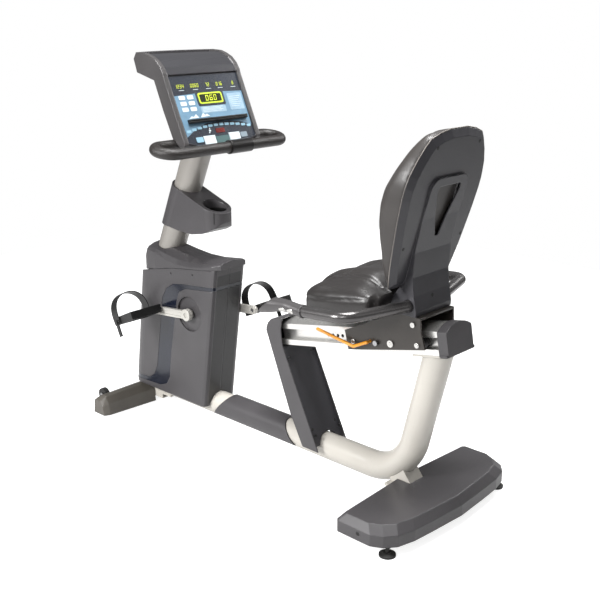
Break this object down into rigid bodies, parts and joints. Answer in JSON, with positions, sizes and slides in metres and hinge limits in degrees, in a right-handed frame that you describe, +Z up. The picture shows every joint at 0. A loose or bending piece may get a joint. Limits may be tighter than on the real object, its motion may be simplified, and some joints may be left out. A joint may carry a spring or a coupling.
{
  "type": "recumbent exercise bike",
  "caption": "Recumbent exercise bike with a bent white frame tube, grey drive housing, console on a leaning mast and a sliding seat with side handlebars.",
  "frame": {"origin": "centre of the bounding box in x and y, on the floor", "axes": "+X runs from the console towards the backrest, +Y to the rider's right, +Z up"},
  "size_m": [1.555, 0.652, 1.358],
  "materials": {
    "cream_paint": "satin powder coat",
    "grey_plastic": "fine-textured moulded plastic",
    "slate_plastic": "fine-textured moulded plastic",
    "olive_plastic": "fine-textured moulded plastic",
    "bronze_finish": "satin metallic grey",
    "navy_gloss": "gloss",
    "black_plastic": "moulded nylon",
    "black_rubber": "matt",
    "steel": "machined",
    "cast_steel": "turned cast iron",
    "bright_bolts": "bright plated",
    "alloy": "extruded and brushed",
    "umber_paint": "dark satin paint",
    "bar_paint": "dark metallic paint",
    "vinyl": "semi-gloss upholstery vinyl",
    "orange_paint": "gloss paint",
    "overlay_print": "printed polycarbonate film",
    "key_white": "moulded key cap"
  },
  "bodies": {
    "frame": {"main_tube": "cream_paint", "rear_frame": "cream_paint", "rear_cover": "grey_plastic", "front_frame": "cream_paint", "front_beam": "cream_paint", "front_feet": "black_rubber", "front_cover_left": "olive_plastic", "front_cover_right": "olive_plastic", "wheel_brackets": "steel", "tube_cover": "grey_plastic", "seat_strut": "grey_plastic", "strut_cover": "slate_plastic", "seat_rail": "alloy", "rail_end_cap": "grey_plastic", "housing_left": "grey_plastic", "housing_right": "grey_plastic", "housing_cap": "grey_plastic", "housing_trim": "navy_gloss", "crank_bearings": "steel", "brake_unit": "slate_plastic", "drive_belt": "black_rubber", "mast": "cream_paint", "cup_holder": "grey_plastic", "console_back": "grey_plastic", "console_bezel": "bronze_finish", "console_overlay": "overlay_print", "reading_ledge": "black_plastic", "front_handlebar": "steel", "front_grips": "black_rubber", "cover_screws": "black_plastic"},
    "crank": {"crank_axle": "steel", "drive_pulley": "alloy", "crank_arms": "alloy", "pedal_spindles": "steel"},
    "left_pedal": {"pedal_left": "black_plastic", "strap_left": "black_plastic"},
    "right_pedal": {"pedal_right": "black_plastic", "strap_right": "black_plastic"},
    "flywheel_set": {"flywheel": "cast_steel"},
    "left_wheel": {"wheel_left": "black_rubber"},
    "right_wheel": {"wheel_right": "black_rubber"},
    "left_foot": {"foot_left": "black_rubber"},
    "right_foot": {"foot_right": "black_rubber"},
    "carriage": {"seat_carriage": "umber_paint", "seat_cushion": "vinyl", "backrest_frame": "steel", "backrest_shell": "slate_plastic", "backrest_cushion": "vinyl", "seat_handlebar": "bar_paint", "seat_grips": "bronze_finish", "seat_bolts": "bright_bolts"},
    "front_roller_pair": {"front_rollers": "black_plastic"},
    "rear_roller_pair": {"rear_rollers": "black_plastic"},
    "lever": {"seat_lever": "orange_paint"},
    "latch": {"latch_pin": "steel"},
    "key_1_cap": {"key_1": "overlay_print"},
    "key_2_cap": {"key_2": "key_white"},
    "key_3_cap": {"key_3": "black_plastic"},
    "key_4_cap": {"key_4": "key_white"},
    "key_5_cap": {"key_5": "overlay_print"}
  },
  "joints": [
    {"name": "crank_spin", "type": "hinge", "parent": "frame", "child": "crank", "pos_m": [-0.374, 0, 0.437], "axis": [0, 1, 0], "continuous": true},
    {"name": "left_pedal_spin", "type": "hinge", "parent": "crank", "child": "left_pedal", "pos_m": [-0.54325, 0, 0.421], "axis": [0, 1, 0], "continuous": true},
    {"name": "right_pedal_spin", "type": "hinge", "parent": "crank", "child": "right_pedal", "pos_m": [-0.20475, 0, 0.453], "axis": [0, 1, 0], "continuous": true},
    {"name": "flywheel_spin", "type": "hinge", "parent": "frame", "child": "flywheel_set", "pos_m": [-0.492, 0, 0.262], "axis": [0, 1, 0], "continuous": true},
    {"name": "left_wheel_spin", "type": "hinge", "parent": "frame", "child": "left_wheel", "pos_m": [-0.753, -0.2, 0.056], "axis": [0, 1, 0], "continuous": true},
    {"name": "right_wheel_spin", "type": "hinge", "parent": "frame", "child": "right_wheel", "pos_m": [-0.753, 0.2, 0.056], "axis": [0, 1, 0], "continuous": true},
    {"name": "left_foot_level", "type": "slide", "parent": "frame", "child": "left_foot", "axis": [0, 0, -1], "range_m": [0, 0.015]},
    {"name": "right_foot_level", "type": "slide", "parent": "frame", "child": "right_foot", "axis": [0, 0, -1], "range_m": [0, 0.015]},
    {"name": "seat_slide", "type": "slide", "parent": "frame", "child": "carriage", "axis": [0.9833, 0, 0.1822], "range_m": [-0.22, 0.02]},
    {"name": "front_rollers_turn", "type": "hinge", "parent": "carriage", "child": "front_roller_pair", "pos_m": [0.41175, 0, 0.52536], "axis": [0, 1, 0], "continuous": true},
    {"name": "rear_rollers_turn", "type": "hinge", "parent": "carriage", "child": "rear_roller_pair", "pos_m": [0.64969, 0, 0.56946], "axis": [0, 1, 0], "continuous": true},
    {"name": "lever_lift", "type": "hinge", "parent": "carriage", "child": "lever", "pos_m": [0.475, -0.1, 0.541], "axis": [0, 1, 0], "range_deg": [0, 14], "stiffness_Nm_per_rad": 1.2, "springref_deg": -14.32},
    {"name": "latch_withdraw", "type": "slide", "parent": "carriage", "child": "latch", "axis": [0, -1, 0], "range_m": [0, 0.008]},
    {"name": "key_1_press", "type": "slide", "parent": "frame", "child": "key_1_cap", "axis": [-0.9092, 0, -0.4163], "range_m": [0, 0.001], "stiffness_N_per_m": 400, "springref_m": -0.0005},
    {"name": "key_2_press", "type": "slide", "parent": "frame", "child": "key_2_cap", "axis": [-0.9092, 0, -0.4163], "range_m": [0, 0.001], "stiffness_N_per_m": 400, "springref_m": -0.0005},
    {"name": "key_3_press", "type": "slide", "parent": "frame", "child": "key_3_cap", "axis": [-0.9092, 0, -0.4163], "range_m": [0, 0.001], "stiffness_N_per_m": 400, "springref_m": -0.0005},
    {"name": "key_4_press", "type": "slide", "parent": "frame", "child": "key_4_cap", "axis": [-0.9092, 0, -0.4163], "range_m": [0, 0.001], "stiffness_N_per_m": 400, "springref_m": -0.0005},
    {"name": "key_5_press", "type": "slide", "parent": "frame", "child": "key_5_cap", "axis": [-0.9092, 0, -0.4163], "range_m": [0, 0.001], "stiffness_N_per_m": 400, "springref_m": -0.0005}
  ],
  "couplings": [
    {"joint": "flywheel_spin", "follows": "crank_spin", "ratio": 3.7143},
    {"joint": "front_rollers_turn", "follows": "seat_slide", "rad_per_m": 62.5},
    {"joint": "rear_rollers_turn", "follows": "seat_slide", "rad_per_m": 62.5},
    {"joint": "latch_withdraw", "follows": "lever_lift", "m_per_rad": 0.03209}
  ]
}
